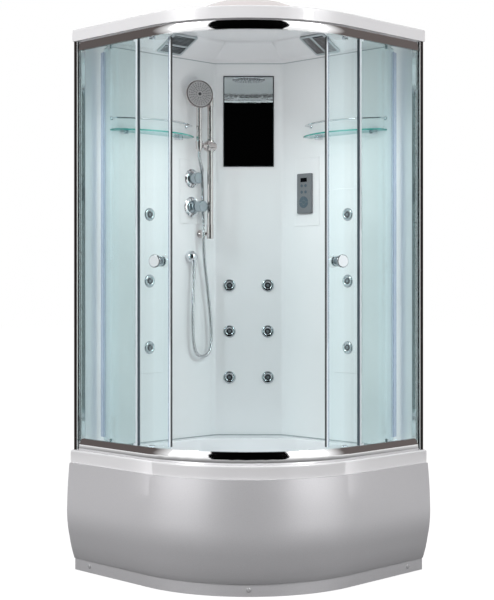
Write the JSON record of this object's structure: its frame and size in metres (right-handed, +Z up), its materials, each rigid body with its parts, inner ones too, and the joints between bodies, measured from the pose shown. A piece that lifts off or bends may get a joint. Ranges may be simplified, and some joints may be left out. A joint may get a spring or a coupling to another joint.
{
  "type": "corner shower cabin",
  "caption": "Quadrant shower cabin with a deep tray and bowed apron, curved sliding glass doors, taps, handset on a riser, body jets, shelves, mirror and a domed roof.",
  "frame": {"origin": "on the floor, at the middle of the cabin's own box", "axes": "+Z up, +Y towards the room corner, so the curved front and its doors face -Y; +X to the right seen from the front"},
  "size_m": [1.4292, 1.1934, 2.264],
  "materials": {
    "white_acrylic": "glossy white moulded acrylic",
    "silver_panel": "satin silver lacquer",
    "cap_metal": "glossy silver cap",
    "galvanised": "galvanised steel",
    "grey_pipe": "matte grey plastic",
    "polished_aluminium": "mirror polished",
    "chrome": "polished chrome",
    "plated_plastic": "chrome plated plastic",
    "clear_glass": "clear tempered glass",
    "dark_seal": "black and clear seal strip",
    "roller_plastic": "white nylon",
    "mirror_sheet": "silvered mirror",
    "panel_shell": "silver grey plastic",
    "grey_keys": "grey membrane",
    "dome_plastic": "translucent plastic",
    "grille_plastic": "silver grey plastic",
    "fan_plastic": "black plastic",
    "nozzle_rubber": "dark soft rubber",
    "spray_face": "grey plastic",
    "hose_chrome": "fine wound chrome"
  },
  "bodies": {
    "cabin": {"tray": "white_acrylic", "apron": "silver_panel", "screw_caps": "cap_metal", "base_frame": "galvanised", "levelling_feet": "galvanised", "waste_trap": "grey_pipe", "drain_cover": "chrome", "bottom_rail": "polished_aluminium", "top_rail": "polished_aluminium", "left_side_post": "polished_aluminium", "right_side_post": "polished_aluminium", "left_fixed_glass": "clear_glass", "right_fixed_glass": "clear_glass", "glass_edge_strips": "dark_seal", "left_wall": "white_acrylic", "right_wall": "white_acrylic", "centre_column": "white_acrylic", "mirror": "mirror_sheet", "control_panel": "panel_shell", "panel_keys": "grey_keys", "roof": "white_acrylic", "roof_dome": "dome_plastic", "rain_shower": "plated_plastic", "speaker_unit": "grille_plastic", "fan_unit": "grille_plastic", "left_shelf": "clear_glass", "right_shelf": "clear_glass", "shelf_guards": "chrome", "shelf_clamps": "chrome", "riser_rail": "chrome", "riser_brackets": "plated_plastic", "hose_outlet": "chrome", "hose": "hose_chrome", "tap_plates": "chrome", "jet_rings": "plated_plastic", "jet_nozzles": "nozzle_rubber", "jet_manifolds": "grey_pipe"},
    "left_door": {"left_door_glass": "clear_glass", "left_door_seals": "dark_seal", "left_door_knob": "chrome", "left_roller_brackets": "chrome"},
    "left_front_top_roller": {"left_front_top_roller": "roller_plastic"},
    "left_front_bottom_roller": {"left_front_bottom_roller": "roller_plastic"},
    "left_rear_top_roller": {"left_rear_top_roller": "roller_plastic"},
    "left_rear_bottom_roller": {"left_rear_bottom_roller": "roller_plastic"},
    "right_door": {"right_door_glass": "clear_glass", "right_door_seals": "dark_seal", "right_door_knob": "chrome", "right_roller_brackets": "chrome"},
    "right_front_top_roller": {"right_front_top_roller": "roller_plastic"},
    "right_front_bottom_roller": {"right_front_bottom_roller": "roller_plastic"},
    "right_rear_top_roller": {"right_rear_top_roller": "roller_plastic"},
    "right_rear_bottom_roller": {"right_rear_bottom_roller": "roller_plastic"},
    "slider": {"slider": "plated_plastic"},
    "cradle": {"handset_cradle": "plated_plastic"},
    "handset": {"handset": "plated_plastic", "handset_face": "spray_face"},
    "diverter_knob": {"diverter_knob": "plated_plastic"},
    "mixer_knob": {"mixer_knob": "plated_plastic"},
    "fan_impeller": {"fan_impeller": "fan_plastic"}
  },
  "joints": [
    {"name": "left_door_run", "type": "hinge", "parent": "cabin", "child": "left_door", "pos_m": [0.14223, 0.28524, 0], "axis": [0, 0, 1], "range_deg": [0, 21.46]},
    {"name": "left_front_top_roller_spin", "type": "hinge", "parent": "left_door", "child": "left_front_top_roller", "pos_m": [-0.36873, -0.38901, 2.0737], "axis": [0.5323, 0.8466, 0], "continuous": true},
    {"name": "left_front_bottom_roller_spin", "type": "hinge", "parent": "left_door", "child": "left_front_bottom_roller", "pos_m": [-0.36873, -0.38901, 0.4993], "axis": [0.5323, 0.8466, 0], "continuous": true},
    {"name": "left_rear_top_roller_spin", "type": "hinge", "parent": "left_door", "child": "left_rear_top_roller", "pos_m": [-0.55573, -0.18049, 2.0737], "axis": [0.8993, 0.4373, 0], "continuous": true},
    {"name": "left_rear_bottom_roller_spin", "type": "hinge", "parent": "left_door", "child": "left_rear_bottom_roller", "pos_m": [-0.55573, -0.18049, 0.4993], "axis": [0.8993, 0.4373, 0], "continuous": true},
    {"name": "right_door_run", "type": "hinge", "parent": "cabin", "child": "right_door", "pos_m": [-0.14223, 0.28524, 0], "axis": [0, 0, -1], "range_deg": [0, 21.46]},
    {"name": "right_front_top_roller_spin", "type": "hinge", "parent": "right_door", "child": "right_front_top_roller", "pos_m": [0.36873, -0.38901, 2.0737], "axis": [-0.5323, 0.8466, 0], "continuous": true},
    {"name": "right_front_bottom_roller_spin", "type": "hinge", "parent": "right_door", "child": "right_front_bottom_roller", "pos_m": [0.36873, -0.38901, 0.4993], "axis": [-0.5323, 0.8466, 0], "continuous": true},
    {"name": "right_rear_top_roller_spin", "type": "hinge", "parent": "right_door", "child": "right_rear_top_roller", "pos_m": [0.55573, -0.18049, 2.0737], "axis": [-0.8993, 0.4373, 0], "continuous": true},
    {"name": "right_rear_bottom_roller_spin", "type": "hinge", "parent": "right_door", "child": "right_rear_bottom_roller", "pos_m": [0.55573, -0.18049, 0.4993], "axis": [-0.8993, 0.4373, 0], "continuous": true},
    {"name": "slider_height", "type": "slide", "parent": "cabin", "child": "slider", "axis": [0, 0, 1], "range_m": [-0.07, 0.11], "deforming": ["hose"]},
    {"name": "cradle_tilt", "type": "hinge", "parent": "slider", "child": "cradle", "pos_m": [-0.20881, 0.25641, 1.71598], "axis": [0.7071, 0.7071, 0], "range_deg": [-3, 25], "deforming": ["hose"]},
    {"name": "handset_turn", "type": "hinge", "parent": "cradle", "child": "handset", "pos_m": [-0.20881, 0.25641, 1.71598], "axis": [0, 0, 1], "range_deg": [-30, 3], "deforming": ["hose"]},
    {"name": "diverter_turn", "type": "hinge", "parent": "cabin", "child": "diverter_knob", "pos_m": [-0.22132, 0.29198, 1.5801], "axis": [0.7071, -0.7071, 0], "range_deg": [-135, 135]},
    {"name": "mixer_turn", "type": "hinge", "parent": "cabin", "child": "mixer_knob", "pos_m": [-0.22132, 0.29198, 1.4591], "axis": [0.7071, -0.7071, 0], "range_deg": [0, 120]},
    {"name": "fan_spin", "type": "hinge", "parent": "cabin", "child": "fan_impeller", "pos_m": [0.297, 0.1739, 2.12903], "axis": [-0.333, -0.333, -0.8821], "continuous": true}
  ]
}
